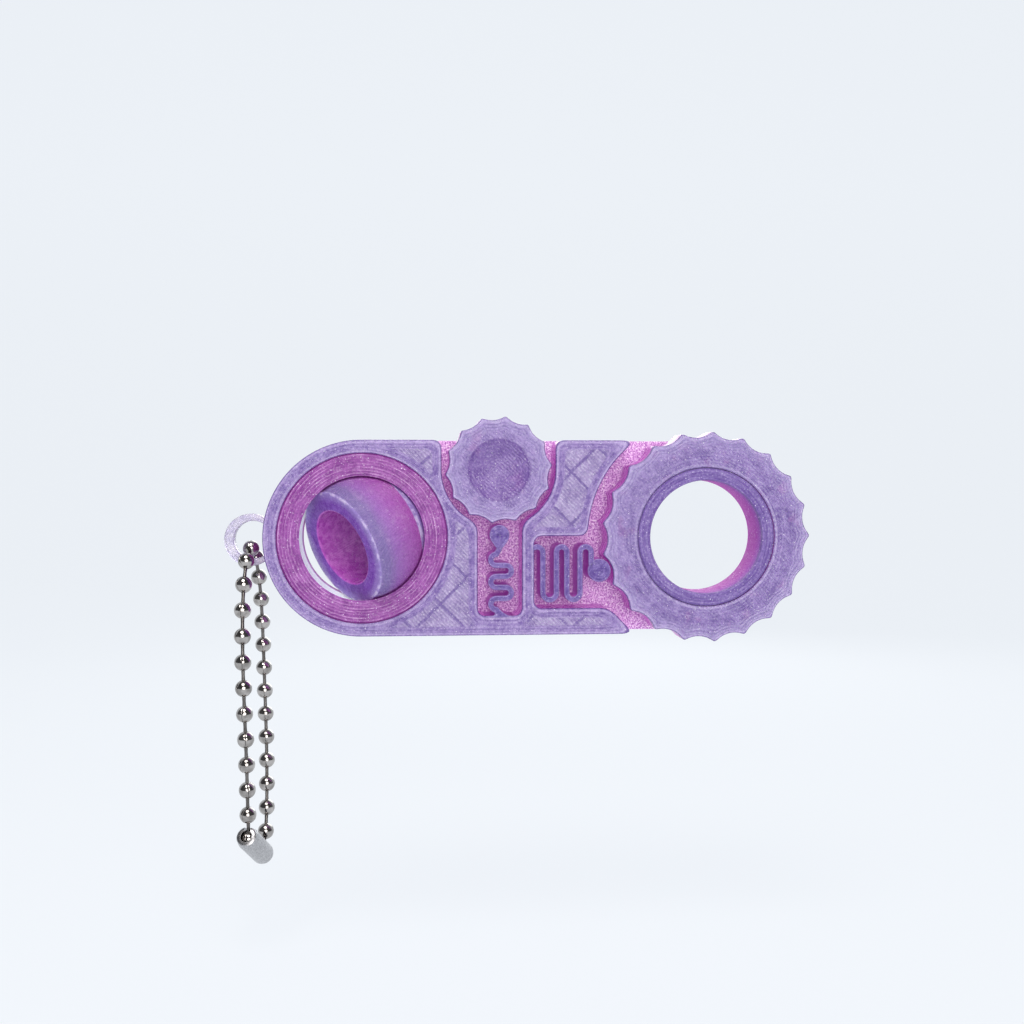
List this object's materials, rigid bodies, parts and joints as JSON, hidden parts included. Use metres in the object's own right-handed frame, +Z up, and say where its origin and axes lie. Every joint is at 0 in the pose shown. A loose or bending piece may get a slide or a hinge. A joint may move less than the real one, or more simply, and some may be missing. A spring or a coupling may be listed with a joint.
{
  "type": "fidget keychain",
  "caption": "Flat printed fidget keychain: a thumb gear, a finger-ring gear, click springs and a ball tumbling in a gyro ring, on a ball chain.",
  "frame": {"origin": "middle of the body's long lower edge, half way through its thickness", "axes": "+X along the body from the gyro to the finger ring, -Y out of its face, +Z up from the lower edge"},
  "size_m": [0.0861, 0.0189, 0.066],
  "materials": {
    "frame_print": "translucent lilac print with glitter, pink towards the back",
    "key_loop_print": "almost clear lilac print",
    "gyro_ring_print": "translucent magenta print with fine layer lines",
    "gyro_ball_print": "translucent violet print, pink towards the back",
    "thumb_gear_print": "translucent violet print with glitter",
    "ring_gear_print": "translucent violet print with glitter",
    "spring_print": "translucent violet print",
    "spring_head_print": "translucent violet print",
    "chain_nickel": "polished nickel plate",
    "connector_steel": "satin nickel plate"
  },
  "bodies": {
    "body": {"frame": "frame_print", "key_loop": "key_loop_print", "narrow_click_spring": "spring_print", "wide_click_spring": "spring_print"},
    "gyro_ring": {"gyro_ring": "gyro_ring_print"},
    "gyro_ball": {"gyro_ball": "gyro_ball_print"},
    "thumb_gear": {"thumb_gear": "thumb_gear_print"},
    "ring_gear": {"ring_gear": "ring_gear_print"},
    "narrow_head": {"narrow_click_head": "spring_head_print"},
    "wide_head": {"wide_click_head": "spring_head_print"},
    "chain": {"chain_bead_01": "chain_nickel", "chain_bead_02": "chain_nickel", "chain_bead_03": "chain_nickel", "chain_bead_04": "chain_nickel", "chain_bead_05": "chain_nickel", "chain_bead_06": "chain_nickel", "chain_bead_07": "chain_nickel", "chain_bead_08": "chain_nickel", "chain_bead_09": "chain_nickel", "chain_bead_10": "chain_nickel", "chain_bead_11": "chain_nickel", "chain_bead_12": "chain_nickel", "chain_bead_13": "chain_nickel", "chain_bead_14": "chain_nickel", "chain_bead_15": "chain_nickel", "chain_bead_16": "chain_nickel", "chain_bead_17": "chain_nickel", "chain_bead_18": "chain_nickel", "chain_bead_19": "chain_nickel", "chain_bead_20": "chain_nickel", "chain_bead_21": "chain_nickel", "chain_bead_22": "chain_nickel", "chain_bead_23": "chain_nickel", "chain_bead_24": "chain_nickel", "chain_bead_25": "chain_nickel", "chain_bead_26": "chain_nickel", "chain_bead_27": "chain_nickel", "chain_connector": "connector_steel"}
  },
  "joints": [
    {"name": "gyro_ring_spin", "type": "hinge", "parent": "body", "child": "gyro_ring", "pos_m": [-0.0252, 0, 0.0142], "axis": [0, 0, 1], "continuous": true},
    {"name": "ball_tumble", "type": "hinge", "parent": "gyro_ring", "child": "gyro_ball", "pos_m": [-0.0252, 0, 0.0142], "axis": [0.4351, 0, -0.9004], "continuous": true},
    {"name": "thumb_gear_spin", "type": "hinge", "parent": "body", "child": "thumb_gear", "pos_m": [-0.00547, 0, 0.02407], "axis": [0, 1, 0], "continuous": true},
    {"name": "ring_gear_spin", "type": "hinge", "parent": "body", "child": "ring_gear", "pos_m": [0.0252, 0, 0.0142], "axis": [0, 1, 0], "continuous": true, "deforming": ["wide_click_head"]},
    {"name": "narrow_click", "type": "slide", "parent": "body", "child": "narrow_head", "axis": [0, 0, -1], "range_m": [0, 0.0008], "stiffness_N_per_m": 200, "deforming": ["narrow_click_spring"]},
    {"name": "wide_click", "type": "slide", "parent": "body", "child": "wide_head", "axis": [-1, 0, 0], "range_m": [0, 0.0011], "stiffness_N_per_m": 200, "deforming": ["wide_click_spring"]},
    {"name": "chain_swing", "type": "hinge", "parent": "body", "child": "chain", "pos_m": [-0.041, 0, 0.0139], "axis": [0, 1, 0], "range_deg": [-10, 100]}
  ]
}
